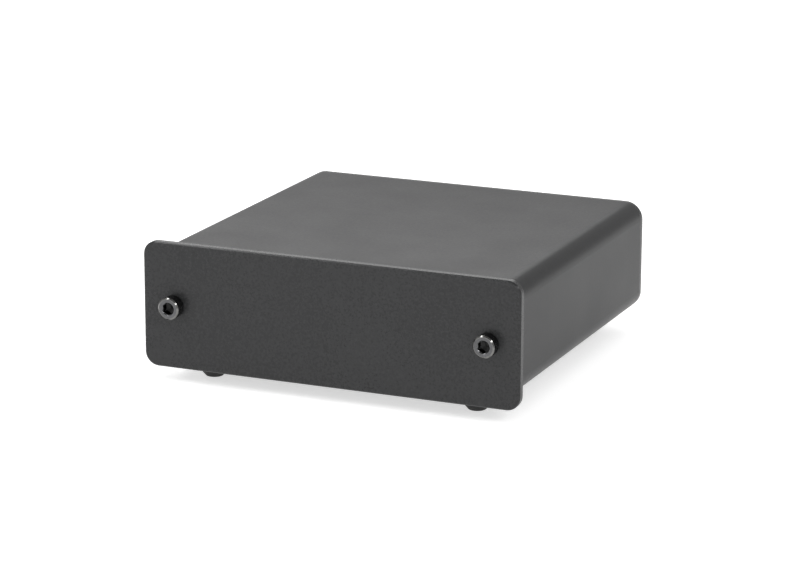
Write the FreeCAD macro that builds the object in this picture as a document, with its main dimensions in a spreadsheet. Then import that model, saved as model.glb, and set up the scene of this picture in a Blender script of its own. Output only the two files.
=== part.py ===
import FreeCAD, Part
import Sketcher

import math
import os

# Desk-top phono preamplifier in an extruded aluminium sleeve.
#
# A 2 mm front plate and a rear plate close the two ends of a rounded rectangular sleeve. Two socket-head
# screws at half height hold each plate to screw ports inside the side walls. The circuit board slides in
# between rails in the sleeve and carries the phono sockets, the power socket and the setting switches,
# which are reached through a window in the floor. The ground terminal is bolted to the rear plate.
#
# Frame: +Z up, -Y is the front, X to the right as seen from the front. The origin is on the table, under
# the middle of the whole object. All sizes are in millimetres.

SIZES = {
    # front plate
    "panel_side_overhang": 2.3,  # beyond the sleeve, on each side
    "panel_upper_overhang": 1.8,  # beyond the sleeve, above and below
    "panel_thick": 2.0,
    "panel_corner": 3.8,
    "panel_bevel": 0.3,
    "panel_lift": 3.8,  # table to the plate's lower edge
    # sleeve and rear plate
    "sleeve_width": 102.4,
    "sleeve_height": 30.6,
    "sleeve_length": 97.3,
    "sleeve_wall": 1.6,
    "sleeve_corner": 5.0,
    "rear_thick": 1.5,
    "port_width": 6.6,
    "port_web": 3.0,
    "rail_depth": 2.2,
    "rail_thick": 1.2,
    "slide_gap": 0.15,  # free play of the board in its rails
    # socket-head screws that hold both plates
    "screw_inset": 6.5,  # screw axis to the sleeve's outer side
    "screw_diameter": 3.5,
    "screw_length": 8.0,
    "screw_head": 6.0,
    "head_height": 3.5,
    "key_flats": 3.0,
    "key_depth": 2.2,
    "screw_play": 0.4,  # hole over screw, on the diameter
    "port_play": 0.12,
    # feet
    "foot_base": 9.2,
    "foot_tip": 4.6,
    "foot_straight": 2.4,
    "foot_pad": 0.4,
    "foot_inset_side": 13.3,
    "foot_inset_end": 8.0,
    # circuit board
    "board_side_gap": 0.3,  # board edge to the sleeve's inner side
    "board_length": 88.0,
    "board_thick": 1.6,
    "board_clear": 3.1,  # floor to the board's underside
    "board_end_gap": 0.4,  # board to the rear plate
    # phono sockets
    "socket_pitch": 14.0,
    "input_middle": -26.5,
    "output_middle": 12.5,
    "block_width": 25.0,
    "block_height": 14.2,
    "block_depth": 11.0,
    "shell_outer": 8.3,
    "shell_inner": 7.3,
    "shell_reach": 10.0,
    "shell_seat": 3.0,
    "shell_collar": 9.0,  # thicker root in the housing and the rear plate
    "shell_taper": 0.4,  # rear plate to where the root has narrowed to the plug size
    "socket_play": 0.1,  # on the diameter, between nested socket pieces
    "plate_play": 0.4,  # plate hole over what passes through it, on the diameter
    "ring_recess": 0.5,
    "contact_outer": 4.0,
    "contact_inner": 3.3,
    "contact_recess": 1.2,
    "contact_floor": 1.0,
    "block_screw": 2.2,
    "block_screw_head": 4.2,
    "block_screw_rise": 1.6,
    "block_screw_length": 8.0,
    # power socket
    "power_x": 33.0,
    "power_width": 9.4,
    "power_height": 11.0,
    "power_depth": 13.5,
    "power_axis_rise": 6.4,  # above the board
    "power_collar": 8.4,
    "power_collar_reach": 0.8,
    "power_bore": 6.0,
    "power_bore_depth": 9.5,
    "power_pin": 2.1,
    "power_pin_tail": 1.5,
    "leaf_width": 2.0,
    "leaf_thick": 0.3,
    "leaf_length": 7.0,
    "leaf_sink": 0.5,  # slot below the bore that the leaf lies in
    "leaf_bump": 0.75,
    # ground terminal
    "ground_x": -7.0,
    "stud_diameter": 4.0,
    "stud_play": 0.12,
    "stud_collar": 8.0,
    "stud_collar_rise": 2.0,
    "stud_overhang": 0.6,
    "clamp_washer": 9.0,
    "clamp_washer_thick": 1.0,
    "thumb_nut": 9.4,
    "thumb_nut_length": 5.6,
    "knurl_depth": 0.35,
    "tab_width": 7.0,
    "tab_thick": 0.6,
    "lock_washer": 7.0,
    "lock_washer_thick": 0.8,
    "stud_nut_flats": 7.0,
    "stud_nut_thick": 3.2,
    # setting switches under the board
    "selector_x": 0.0,
    "selector_from_rear": 34.0,  # switch middle to the board's rear edge
    "selector_width": 12.2,
    "selector_depth": 6.4,
    "selector_height": 2.4,
    "lever_pitch": 2.54,
    "lever_width": 1.2,
    "lever_length": 1.8,
    "lever_travel": 1.4,
    "lever_rise": 0.5,
    "lever_inside": 1.2,
    "lever_gap": 0.1,
    "window_margin": 1.2,
    # parts on the board: x is from the middle, and a row starts at a distance from the rear edge
    "lead": 0.6,
    "resistor_diameter": 2.3,
    "resistor_length": 6.3,
    "resistor_span": 10.16,  # between the two leads
    "resistor_step": 3.4,
    "resistor_x": 14.0,
    "resistor_row": 26.0,
    "resistor_second_row": 60.0,
    "film_width": 7.2,
    "film_depth": 3.5,
    "film_height": 7.5,
    "film_step": 5.5,
    "film_x": 24.0,
    "film_row": 27.0,
    "coupling_diameter": 6.3,
    "coupling_height": 11.0,
    "coupling_row": 18.5,
    "chip_row": 50.5,
    "chip_length": 9.4,
    "chip_width": 6.4,
    "chip_height": 3.4,
    "chip_leg_rows": 7.62,
    "chip_leg_pitch": 2.54,
    "chip_seat": 4.2,  # height of the socket it stands in
    "can_diameter": 12.5,
    "can_height": 18.0,
    "can_x": 34.5,
    "can_row": 38.0,
    "can_step": 15.0,
    "diode_diameter": 2.7,
    "diode_length": 5.2,
    "diode_step": 3.6,
    "diode_x": 36.0,
    "diode_row": 19.0,
    "regulator_width": 10.2,
    "regulator_depth": 4.4,
    "regulator_height": 9.0,
    "regulator_tab_rise": 6.2,
    "regulator_legs": 3.0,
    "regulator_x": 30.0,
    "regulator_step": 11.0,
    "regulator_row": 78.0,
}
KNURLS = 28
LEVERS = 4


class Size:
    """A length that knows both its spreadsheet expression and its present value."""

    def __init__(self, text, value):
        self.text = text
        self.value = float(value)

    def _with(self, sign, other, value):
        other_text = other.text if isinstance(other, Size) else repr(other)
        return Size(f"({self.text} {sign} {other_text})", value)

    def __add__(self, other):
        return self._with("+", other, self.value + number(other))

    def __sub__(self, other):
        return self._with("-", other, self.value - number(other))

    def __mul__(self, factor):
        return self._with("*", factor, self.value * number(factor))

    def __truediv__(self, divisor):
        return self._with("/", divisor, self.value / number(divisor))

    def __neg__(self):
        return Size(f"(0 - {self.text})", -self.value)

    def __radd__(self, other):
        return self + other

    def __rmul__(self, other):
        return self * other

    def __rsub__(self, other):
        return -self + other


def number(value):
    return value.value if isinstance(value, Size) else float(value)


def text(value):
    return value.text if isinstance(value, Size) else repr(float(value))


doc = FreeCAD.newDocument("PhonoPreamp")
sheet = doc.addObject("Spreadsheet::Sheet", "Sizes")
for row, (alias, value) in enumerate(SIZES.items(), start=1):
    sheet.set(f"A{row}", alias.replace("_", " "))
    sheet.set(f"B{row}", repr(value))
    sheet.setAlias(f"B{row}", alias)
doc.recompute()


class Cells:
    """The spreadsheet's cells as Size values: cells.panel_width and so on."""

    def __getattr__(self, alias):
        return Size(f"Sizes.{alias}", sheet.get(alias))


def value_of(alias):
    """A cell's present value, for shapes that are made directly."""
    return float(sheet.get(alias))


cells = Cells()
NODES = []

# Places that several pieces share, in the object's own frame.
front_y = -(cells.panel_thick + cells.sleeve_length + cells.rear_thick + cells.shell_reach - cells.head_height) / 2
sleeve_y = front_y + cells.panel_thick
rear_inner_y = sleeve_y + cells.sleeve_length
rear_outer_y = rear_inner_y + cells.rear_thick
panel_width = cells.sleeve_width + cells.panel_side_overhang * 2
panel_height = cells.sleeve_height + cells.panel_upper_overhang * 2
middle_z = cells.panel_lift + panel_height / 2
sleeve_under_z = middle_z - cells.sleeve_height / 2
board_under_z = sleeve_under_z + cells.sleeve_wall + cells.board_clear
board_top_z = board_under_z + cells.board_thick
board_rear_y = rear_inner_y - cells.board_end_gap
board_front_y = board_rear_y - cells.board_length
screw_x = cells.sleeve_width / 2 - cells.screw_inset
power_z = board_top_z + cells.power_axis_rise
selector_y = board_rear_y - cells.selector_from_rear


def bind(target, prop, value):
    target.setExpression(prop, text(value))


def place(piece, x=0.0, y=0.0, z=0.0, turn_z=0.0):
    piece.Placement = FreeCAD.Placement(
        FreeCAD.Vector(number(x), number(y), number(z)),
        FreeCAD.Rotation(FreeCAD.Vector(0, 0, 1), turn_z),
    )
    for axis, value in (("x", x), ("y", y), ("z", z)):
        bind(piece, f"Placement.Base.{axis}", value)
    NODES.append(piece)
    return piece


def new_body(label):
    body = doc.addObject("PartDesign::Body", label)
    body.Label = label
    return body


def new_sketch(body, name, plane="XZ_Plane", ahead=0.0):
    """A sketch on one of the body's own origin planes, moved along the plane's normal by ahead."""
    sketch = body.newObject("Sketcher::SketchObject", f"{body.Label}_{name}")
    support = next(f for f in body.Origin.OriginFeatures if f.Role == plane)
    sketch.AttachmentSupport = [(support, "")]
    sketch.MapMode = "FlatFace"
    if number(ahead):
        bind(sketch, "AttachmentOffset.Base.z", ahead)
    return sketch


def datum(sketch, kind, references, value):
    """A driving constraint, bound to the spreadsheet."""
    index = sketch.addConstraint(Sketcher.Constraint(kind, *references, number(value)))
    if isinstance(value, Size):
        sketch.setExpression(f"Constraints[{index}]", value.text)


def locate(sketch, geometry, point, x, y):
    """Fixes a point of a sketch by its distances from the sketch's origin."""
    for kind, axis, value in (("DistanceX", -2, x), ("DistanceY", -1, y)):
        if abs(number(value)) < 1e-9:
            sketch.addConstraint(Sketcher.Constraint("PointOnObject", geometry, point, axis))
        elif number(value) > 0:
            datum(sketch, kind, (-1, 1, geometry, point), value)
        else:
            datum(sketch, kind, (geometry, point, -1, 1), -value)


def outline(sketch, points):
    """A closed outline of straight lines through points whose coordinates are sizes."""
    count = len(points)
    places = [FreeCAD.Vector(number(x), number(y), 0) for x, y in points]
    first = None
    for k in range(count):
        line = sketch.addGeometry(Part.LineSegment(places[k], places[(k + 1) % count]))
        first = line if first is None else first
    for k in range(count):
        sketch.addConstraint(Sketcher.Constraint("Coincident", first + k, 2, first + (k + 1) % count, 1))
    for k, (x, y) in enumerate(points):
        locate(sketch, first + k, 1, x, y)


def rectangle(sketch, x_low, x_high, y_low, y_high):
    outline(sketch, [(x_low, y_low), (x_high, y_low), (x_high, y_high), (x_low, y_high)])


def centred_rectangle(sketch, width, height):
    rectangle(sketch, -width / 2, width / 2, -height / 2, height / 2)


def circle(sketch, x, y, diameter):
    centre = FreeCAD.Vector(number(x), number(y), 0)
    geometry = sketch.addGeometry(Part.Circle(centre, FreeCAD.Vector(0, 0, 1), number(diameter) / 2))
    datum(sketch, "Diameter", (geometry,), diameter)
    locate(sketch, geometry, 3, x, y)


def hexagon(sketch, flats):
    corner = flats / math.sqrt(3)
    turns = [math.radians(60 * k) for k in range(6)]
    outline(sketch, [(corner * round(math.cos(a), 12), corner * round(math.sin(a), 12)) for a in turns])


def pad(body, sketch, length, reverse=True):
    """Adds material from the sketch. On the XZ plane, reverse means towards the rear."""
    feature = body.newObject("PartDesign::Pad", f"{sketch.Name}_pad")
    feature.Profile = sketch
    bind(feature, "Length", length)
    feature.Reversed = reverse
    doc.recompute()
    return feature


def pocket(body, sketch, length=None, reverse=False):
    """Removes material, all the way through where no length is given."""
    before = body.Shape.Volume
    feature = body.newObject("PartDesign::Pocket", f"{sketch.Name}_pocket")
    feature.Profile = sketch
    if length is None:
        feature.Type = 1
    else:
        bind(feature, "Length", length)
    feature.Reversed = reverse
    doc.recompute()
    if body.Shape.Volume > before - 1e-6:
        raise ValueError(f"{feature.Name} removed nothing")
    return feature


def revolve(body, sketch):
    feature = body.newObject("PartDesign::Revolution", f"{sketch.Name}_turned")
    feature.Profile = sketch
    feature.ReferenceAxis = (sketch, ["V_Axis"])
    feature.Angle = 360.0
    doc.recompute()
    return feature


def soften(body, kind, size, chosen):
    """Fillets or chamfers the edges of the body's tip that chosen(edge) picks."""
    tip = body.Tip
    names = [f"Edge{k}" for k, edge in enumerate(tip.Shape.Edges, start=1) if chosen(edge)]
    if not names:
        raise ValueError(f"{body.Label}: no edge to {kind.lower()}")
    feature = body.newObject(f"PartDesign::{kind}", f"{body.Label}_{kind.lower()}_{len(body.Group)}")
    feature.Base = (tip, names)
    bind(feature, "Radius" if kind == "Fillet" else "Size", size)
    doc.recompute()
    return feature


def along_y(length):
    """Picks straight edges that run front to back over the whole of length."""

    def chosen(edge):
        box = edge.BoundBox
        return abs(box.YLength - number(length)) < 1e-4 and box.XLength < 1e-4 and box.ZLength < 1e-4

    return chosen


def ring_at(axis, place_on_axis, radius):
    """Picks the full circles of a radius that lie square to an axis, 0 to 2, at a place on it."""

    def chosen(edge):
        if not isinstance(edge.Curve, Part.Circle) or len(edge.Vertexes) > 1:
            return False
        centre = edge.Curve.Center
        return abs(centre[axis] - number(place_on_axis)) < 1e-4 and abs(edge.Curve.Radius - number(radius)) < 1e-4

    return chosen


def make_sleeve():
    """Extruded tube with two screw ports, board rails and the switch window in its floor."""
    body = new_body("sleeve")
    width, height, wall, length = (
        cells.sleeve_width,
        cells.sleeve_height,
        cells.sleeve_wall,
        cells.sleeve_length,
    )
    outside = new_sketch(body, "outside")
    centred_rectangle(outside, width, height)
    pad(body, outside, length)
    soften(body, "Fillet", cells.sleeve_corner, along_y(length))
    inside = new_sketch(body, "inside")
    centred_rectangle(inside, width - wall * 2, height - wall * 2)
    pocket(body, inside)
    inner_x = number(width / 2 - wall)
    is_inner_corner = along_y(length)
    soften(
        body,
        "Fillet",
        cells.sleeve_corner - wall,
        lambda edge: is_inner_corner(edge) and abs(abs(edge.BoundBox.Center.x) - inner_x) < 1e-4,
    )
    wall_middle = width / 2 - wall / 2
    rail_x = width / 2 - wall - cells.rail_depth
    under = board_under_z - middle_z
    over = board_top_z - middle_z
    webs = new_sketch(body, "webs")
    rails = new_sketch(body, "rails")
    for side in (-1, 1):
        low, high = sorted((side * screw_x, side * wall_middle), key=number)
        rectangle(webs, low, high, -cells.port_web / 2, cells.port_web / 2)
        low, high = sorted((side * rail_x, side * wall_middle), key=number)
        rectangle(rails, low, high, under - cells.slide_gap - cells.rail_thick, under - cells.slide_gap)
        rectangle(rails, low, high, over + cells.slide_gap, over + cells.slide_gap + cells.rail_thick)
    pad(body, webs, length)
    pad(body, rails, length)
    ports = new_sketch(body, "ports")
    bores = new_sketch(body, "bores")
    for side in (-1, 1):
        circle(ports, side * screw_x, 0, cells.port_width)
        circle(bores, side * screw_x, 0, cells.screw_diameter + cells.port_play)
    pad(body, ports, length)
    pocket(body, bores)
    window = new_sketch(body, "window", "XY_Plane")
    window_y = selector_y - sleeve_y
    half_x = cells.selector_width / 2 + cells.window_margin
    half_y = cells.selector_depth / 2 + cells.window_margin
    rectangle(
        window,
        cells.selector_x - half_x,
        cells.selector_x + half_x,
        window_y - half_y,
        window_y + half_y,
    )
    pocket(body, window)
    return place(body, 0, sleeve_y, middle_z)


def screw_holes(body):
    holes = new_sketch(body, "screw_holes")
    for side in (-1, 1):
        circle(holes, side * screw_x, 0, cells.screw_diameter + cells.screw_play)
    pocket(body, holes)


def make_front_plate():
    body = new_body("front_plate")
    plate = new_sketch(body, "plate")
    centred_rectangle(plate, panel_width, panel_height)
    pad(body, plate, cells.panel_thick)
    soften(body, "Fillet", cells.panel_corner, along_y(cells.panel_thick))
    soften(body, "Chamfer", cells.panel_bevel, lambda edge: edge.BoundBox.YMax < 1e-4)
    screw_holes(body)
    return place(body, 0, front_y, middle_z)


def make_rear_plate():
    """Rear plate with holes for the sockets, the ground stud and the screws."""
    body = new_body("rear_plate")
    plate = new_sketch(body, "plate")
    centred_rectangle(plate, cells.sleeve_width, cells.sleeve_height)
    pad(body, plate, cells.rear_thick)
    soften(body, "Fillet", cells.sleeve_corner, along_y(cells.rear_thick))
    screw_holes(body)
    openings = new_sketch(body, "openings")
    for middle in (cells.input_middle, cells.output_middle):
        for side in (-1, 1):
            circle(openings, middle + cells.socket_pitch * side / 2, 0, cells.shell_collar + cells.plate_play)
        circle(openings, middle, 0, cells.block_screw + cells.screw_play)
    circle(openings, cells.power_x, power_z - middle_z, cells.power_collar + cells.screw_play)
    circle(openings, cells.ground_x, 0, cells.stud_diameter + cells.screw_play)
    pocket(body, openings)
    return place(body, 0, rear_inner_y, middle_z)


def make_cap_screw(label, x, y, turn_z):
    """Socket-head screw, its head towards -Y and its seat at the local origin."""
    body = new_body(label)
    head, shank = cells.screw_head / 2, cells.screw_diameter / 2
    turned = new_sketch(body, "turned", "XY_Plane")
    outline(
        turned,
        [
            (0, -cells.head_height),
            (head, -cells.head_height),
            (head, 0),
            (shank, 0),
            (shank, cells.screw_length),
            (0, cells.screw_length),
        ],
    )
    revolve(body, turned)
    soften(body, "Fillet", cells.head_height / 9, ring_at(1, -cells.head_height, head))
    soften(body, "Chamfer", cells.screw_diameter / 8, ring_at(1, cells.screw_length, shank))
    key = new_sketch(body, "key", ahead=cells.head_height)
    hexagon(key, cells.key_flats)
    pocket(body, key, cells.key_depth)
    return place(body, x, y, middle_z, turn_z)


def make_foot(label, x, y):
    """Rubber bumper that narrows to a flat tip on the table."""
    body = new_body(label)
    base, tip = cells.foot_base / 2, cells.foot_tip / 2
    height = sleeve_under_z - cells.foot_pad
    profile = new_sketch(body, "profile")
    shoulder = height - cells.foot_straight
    outline(profile, [(0, 0), (tip, 0), (base, shoulder), (base, height), (0, height)])
    revolve(body, profile)
    soften(body, "Fillet", cells.foot_tip / 8, ring_at(2, 0, tip))
    soften(body, "Fillet", cells.foot_straight / 2, ring_at(2, shoulder, base))
    return place(body, x, y)


def make_foot_pads(places):
    """The feet's adhesive discs, one node of four solids."""
    pads = []
    radius = number(cells.foot_base) / 2 - 0.3
    for x, y in places:
        bottom = FreeCAD.Vector(number(x), number(y), number(sleeve_under_z - cells.foot_pad))
        pads.append(Part.makeCylinder(radius, number(cells.foot_pad), bottom))
    return group("foot_adhesive_pads", pads)


def group(label, solids):
    """One node that holds several like pieces as separate solids, already in place."""
    piece = doc.addObject("Part::Feature", label)
    piece.Label = label
    piece.Shape = Part.makeCompound(solids)
    NODES.append(piece)
    return piece


def make_board():
    body = new_body("circuit_board")
    sheet_sketch = new_sketch(body, "sheet", "XY_Plane")
    half = cells.sleeve_width / 2 - cells.sleeve_wall - cells.board_side_gap
    rectangle(sheet_sketch, -half, half, 0, cells.board_length)
    pad(body, sheet_sketch, cells.board_thick, reverse=False)
    return place(body, 0, board_front_y, board_under_z)


def make_socket_block(label, x):
    """Moulded housing of one pair of phono sockets, against the rear plate's inner face."""
    body = new_body(label)
    bottom = board_top_z - middle_z
    front = new_sketch(body, "front")
    rectangle(front, -cells.block_width / 2, cells.block_width / 2, bottom, bottom + cells.block_height)
    pad(body, front, cells.block_depth, reverse=False)
    soften(
        body,
        "Chamfer",
        cells.block_depth / 15,
        lambda edge: edge.BoundBox.YMax < -number(cells.block_depth) + 1e-4,
    )
    seats = new_sketch(body, "seats")
    for side in (-1, 1):
        circle(seats, cells.socket_pitch * side / 2, 0, cells.shell_collar + cells.socket_play)
    pocket(body, seats, cells.shell_seat, reverse=True)
    screw_bore = new_sketch(body, "screw_bore")
    circle(screw_bore, 0, 0, cells.block_screw + cells.socket_play)
    pocket(body, screw_bore, reverse=True)
    return place(body, x, rear_inner_y, middle_z)


def make_shell(label, x):
    """Outer metal barrel of a phono socket, with a thicker root in its housing and the plate."""
    body = new_body(label)
    outer, collar, inner = cells.shell_outer / 2, cells.shell_collar / 2, cells.shell_inner / 2
    back, tip = -cells.shell_seat, cells.rear_thick + cells.shell_reach
    seat, narrow = cells.rear_thick, cells.rear_thick + cells.shell_taper
    profile = new_sketch(body, "profile", "XY_Plane")
    outline(
        profile,
        [(inner, back), (collar, back), (collar, seat), (outer, narrow), (outer, tip), (inner, tip)],
    )
    revolve(body, profile)
    soften(body, "Chamfer", (cells.shell_outer - cells.shell_inner) / 6, ring_at(1, tip, outer))
    return place(body, x, rear_inner_y, middle_z)


def make_ring(label, x):
    """Coloured insulator that fills the barrel round the centre contact."""
    body = new_body(label)
    outer = (cells.shell_inner - cells.socket_play) / 2
    inner = (cells.contact_outer + cells.socket_play) / 2
    back, tip = -cells.shell_seat, cells.rear_thick + cells.shell_reach - cells.ring_recess
    profile = new_sketch(body, "profile", "XY_Plane")
    outline(profile, [(inner, back), (outer, back), (outer, tip), (inner, tip)])
    revolve(body, profile)
    return place(body, x, rear_inner_y, middle_z)


def make_contact(label, x):
    """Centre contact, a tube that is closed at the back and takes the plug's pin."""
    body = new_body(label)
    outer, inner = cells.contact_outer / 2, cells.contact_inner / 2
    back, tip = -cells.shell_seat, cells.rear_thick + cells.shell_reach - cells.contact_recess
    floor = back + cells.contact_floor
    profile = new_sketch(body, "profile", "XY_Plane")
    outline(profile, [(0, back), (outer, back), (outer, tip), (inner, tip), (inner, floor), (0, floor)])
    revolve(body, profile)
    return place(body, x, rear_inner_y, middle_z)


def make_block_screw(label, x):
    """Cross-recess screw through the rear plate into a socket block, its head towards +Y."""
    body = new_body(label)
    head, shank, rise = cells.block_screw_head / 2, cells.block_screw / 2, cells.block_screw_rise
    turned = new_sketch(body, "turned", "XY_Plane")
    outline(
        turned,
        [
            (0, -cells.block_screw_length),
            (shank, -cells.block_screw_length),
            (shank, 0),
            (head, 0),
            (head, rise),
            (0, rise),
        ],
    )
    revolve(body, turned)
    soften(body, "Fillet", rise * 0.55, ring_at(1, rise, head))
    recess = new_sketch(body, "recess", ahead=-rise)
    arm, half = head * 0.55, head * 0.14
    outline(
        recess,
        [
            (arm, -half),
            (arm, half),
            (half, half),
            (half, arm),
            (-half, arm),
            (-half, half),
            (-arm, half),
            (-arm, -half),
            (-half, -half),
            (-half, -arm),
            (half, -arm),
            (half, -half),
        ],
    )
    pocket(body, recess, rise * 0.6, reverse=True)
    return place(body, x, rear_outer_y, middle_z)


def make_power_housing():
    """Moulded barrel socket, its collar flush through the rear plate."""
    body = new_body("power_socket_housing")
    front = new_sketch(body, "front")
    rectangle(
        front,
        -cells.power_width / 2,
        cells.power_width / 2,
        -cells.power_axis_rise,
        cells.power_height - cells.power_axis_rise,
    )
    pad(body, front, cells.power_depth, reverse=False)
    collar = new_sketch(body, "collar")
    circle(collar, 0, 0, cells.power_collar)
    reach = cells.rear_thick + cells.power_collar_reach
    pad(body, collar, reach)
    bore = new_sketch(body, "bore", ahead=-reach)
    circle(bore, 0, 0, cells.power_bore)
    pocket(body, bore, reach + cells.power_bore_depth, reverse=True)
    pin_hole = new_sketch(body, "pin_hole")
    circle(pin_hole, 0, 0, cells.power_pin_tail + cells.socket_play)
    pocket(body, pin_hole, reverse=True)
    slot = new_sketch(body, "leaf_slot")
    half = cells.leaf_width / 2 + cells.lever_gap
    depth = cells.power_bore / 2 + cells.leaf_sink + cells.leaf_thick * 2
    rectangle(slot, -half, half, -depth, -cells.power_bore / 4)
    pocket(body, slot, cells.power_bore_depth, reverse=True)
    return place(body, cells.power_x, rear_inner_y, power_z)


def make_power_pin():
    """Centre pin, held by a thinner tail in the housing's end wall."""
    body = new_body("power_socket_pin")
    radius, tail = cells.power_pin / 2, cells.power_pin_tail / 2
    end, seat, tip = -cells.power_depth, -cells.power_bore_depth, cells.rear_thick
    profile = new_sketch(body, "profile", "XY_Plane")
    outline(profile, [(0, end), (tail, end), (tail, seat), (radius, seat), (radius, tip), (0, tip)])
    revolve(body, profile)
    soften(body, "Fillet", cells.power_pin / 4, ring_at(1, tip, radius))
    return place(body, cells.power_x, rear_inner_y, power_z)


def make_power_leaf():
    """Bent spring strip below the bore that presses on the plug's barrel."""
    body = new_body("power_socket_leaf")
    low = -(cells.power_bore / 2 + cells.leaf_sink + cells.leaf_thick)
    thick, bump, length = cells.leaf_thick, cells.leaf_bump, cells.leaf_length
    back = -(cells.power_bore_depth - cells.lever_gap)
    side = new_sketch(body, "side", "YZ_Plane", ahead=-cells.leaf_width / 2)
    outline(
        side,
        [
            (back, low),
            (back + length * 0.4, low),
            (back + length * 0.6, low + bump),
            (back + length * 0.8, low + bump),
            (back + length, low),
            (back + length, low + thick),
            (back + length * 0.85, low + bump + thick),
            (back + length * 0.55, low + bump + thick),
            (back + length * 0.35, low + thick),
            (back, low + thick),
        ],
    )
    pad(body, side, cells.leaf_width, reverse=False)
    return place(body, cells.power_x, rear_inner_y, power_z)


def make_ground_stud():
    """Threaded stud with a collar on the rear plate's outer face."""
    body = new_body("ground_stud")
    radius, collar = cells.stud_diameter / 2, cells.stud_collar / 2
    inner_end = -(
        cells.rear_thick + cells.tab_thick + cells.lock_washer_thick + cells.stud_nut_thick + cells.stud_overhang
    )
    outer_end = cells.stud_collar_rise + cells.clamp_washer_thick + cells.thumb_nut_length + cells.stud_overhang
    profile = new_sketch(body, "profile", "XY_Plane")
    outline(
        profile,
        [
            (0, inner_end),
            (radius, inner_end),
            (radius, 0),
            (collar, 0),
            (collar, cells.stud_collar_rise),
            (radius, cells.stud_collar_rise),
            (radius, outer_end),
            (0, outer_end),
        ],
    )
    revolve(body, profile)
    soften(body, "Chamfer", cells.stud_diameter / 9, ring_at(1, outer_end, radius))
    soften(body, "Chamfer", cells.stud_collar_rise / 6, ring_at(1, cells.stud_collar_rise, collar))
    return place(body, cells.ground_x, rear_outer_y, middle_z)


def make_washer(label, outer, thick, y):
    body = new_body(label)
    face = new_sketch(body, "face")
    circle(face, 0, 0, outer)
    circle(face, 0, 0, cells.stud_diameter + cells.stud_play)
    pad(body, face, thick)
    return place(body, cells.ground_x, y, middle_z)


def make_thumb_nut():
    """Knurled nut that clamps the ground lead's tag against the stud's collar."""
    body = new_body("ground_thumb_nut")
    outer, inner, length = cells.thumb_nut / 2, (cells.stud_diameter + cells.stud_play) / 2, cells.thumb_nut_length
    profile = new_sketch(body, "profile", "XY_Plane")
    outline(profile, [(inner, 0), (outer, 0), (outer, length), (inner, length)])
    revolve(body, profile)
    soften(body, "Chamfer", cells.knurl_depth, ring_at(1, length, outer))
    soften(body, "Chamfer", cells.knurl_depth, ring_at(1, 0, outer))
    groove = new_sketch(body, "groove")
    half = cells.knurl_depth * 0.7
    outline(groove, [(-half, outer + half), (0, outer - cells.knurl_depth), (half, outer + half)])
    cut = pocket(body, groove)
    around = body.newObject("PartDesign::PolarPattern", "thumb_nut_knurling")
    around.Originals = [cut]
    around.Axis = (groove, ["N_Axis"])
    around.Angle = 360.0
    around.Occurrences = KNURLS
    body.Tip = around
    doc.recompute()
    y = rear_outer_y + cells.stud_collar_rise + cells.clamp_washer_thick
    return place(body, cells.ground_x, y, middle_z)


def make_stud_nut():
    body = new_body("ground_stud_nut")
    face = new_sketch(body, "face")
    hexagon(face, cells.stud_nut_flats)
    circle(face, 0, 0, cells.stud_diameter + cells.stud_play)
    pad(body, face, cells.stud_nut_thick)
    y = rear_inner_y - cells.tab_thick - cells.lock_washer_thick - cells.stud_nut_thick
    return place(body, cells.ground_x, y, middle_z)


def make_ground_tab():
    """Tinned strip from the ground stud down to the circuit board."""
    body = new_body("ground_tab")
    face = new_sketch(body, "face")
    bottom = board_top_z - middle_z
    half = cells.tab_width / 2
    rectangle(face, -half, half, bottom, half)
    circle(face, 0, 0, cells.stud_diameter + cells.stud_play)
    pad(body, face, cells.tab_thick, reverse=False)
    toe = new_sketch(body, "toe")
    rectangle(toe, -half, half, bottom, bottom + cells.tab_thick)
    pad(body, toe, cells.tab_width, reverse=False)
    return place(body, cells.ground_x, rear_inner_y, middle_z)


def lever_x(index):
    return cells.lever_pitch * (index - (LEVERS - 1) / 2)


def make_selector_body():
    """Low switch housing under the board, with one slot for each lever."""
    body = new_body("selector_housing")
    top = new_sketch(body, "top", "XY_Plane")
    centred_rectangle(top, cells.selector_width, cells.selector_depth)
    pad(body, top, cells.selector_height, reverse=True)
    slots = new_sketch(body, "slots", "XY_Plane", ahead=-cells.selector_height)
    half_x = cells.lever_width / 2 + cells.lever_gap
    half_y = (cells.lever_length + cells.lever_travel) / 2 + cells.lever_gap
    for index in range(LEVERS):
        rectangle(slots, lever_x(index) - half_x, lever_x(index) + half_x, -half_y, half_y)
    pocket(body, slots, cells.lever_inside + cells.lever_gap, reverse=True)
    return place(body, cells.selector_x, selector_y, board_under_z)


def make_lever(index):
    """One setting switch's lever, at the front end of its slot."""
    body = new_body(f"selector_lever_{index + 1}")
    face = new_sketch(body, "face", "XY_Plane")
    centred_rectangle(face, cells.lever_width, cells.lever_length)
    pad(body, face, cells.lever_inside + cells.lever_rise, reverse=False)
    y = selector_y - cells.lever_travel / 2
    z = board_under_z - cells.selector_height - cells.lever_rise
    return place(body, cells.selector_x + lever_x(index), y, z)


# Components on the board. The shapes are made round the origin, standing on z = 0.


def on_board(shape, x, from_rear):
    """Puts a component on the board's top face, at a distance from the board's rear edge."""
    shape = shape.copy()
    shape.translate(FreeCAD.Vector(x, number(board_rear_y) - from_rear, number(board_top_z)))
    return shape


def cylinder(radius, height, x=0.0, y=0.0, z=0.0, direction=(0, 0, 1)):
    return Part.makeCylinder(radius, height, FreeCAD.Vector(x, y, z), FreeCAD.Vector(*direction))


def box(x_size, y_size, z_size, z=0.0, x=0.0, y=0.0):
    corner = FreeCAD.Vector(x - x_size / 2, y - y_size / 2, z)
    return Part.makeBox(x_size, y_size, z_size, corner)


def round_edges(shape):
    return [edge for edge in shape.Edges if isinstance(edge.Curve, Part.Circle)]


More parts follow.
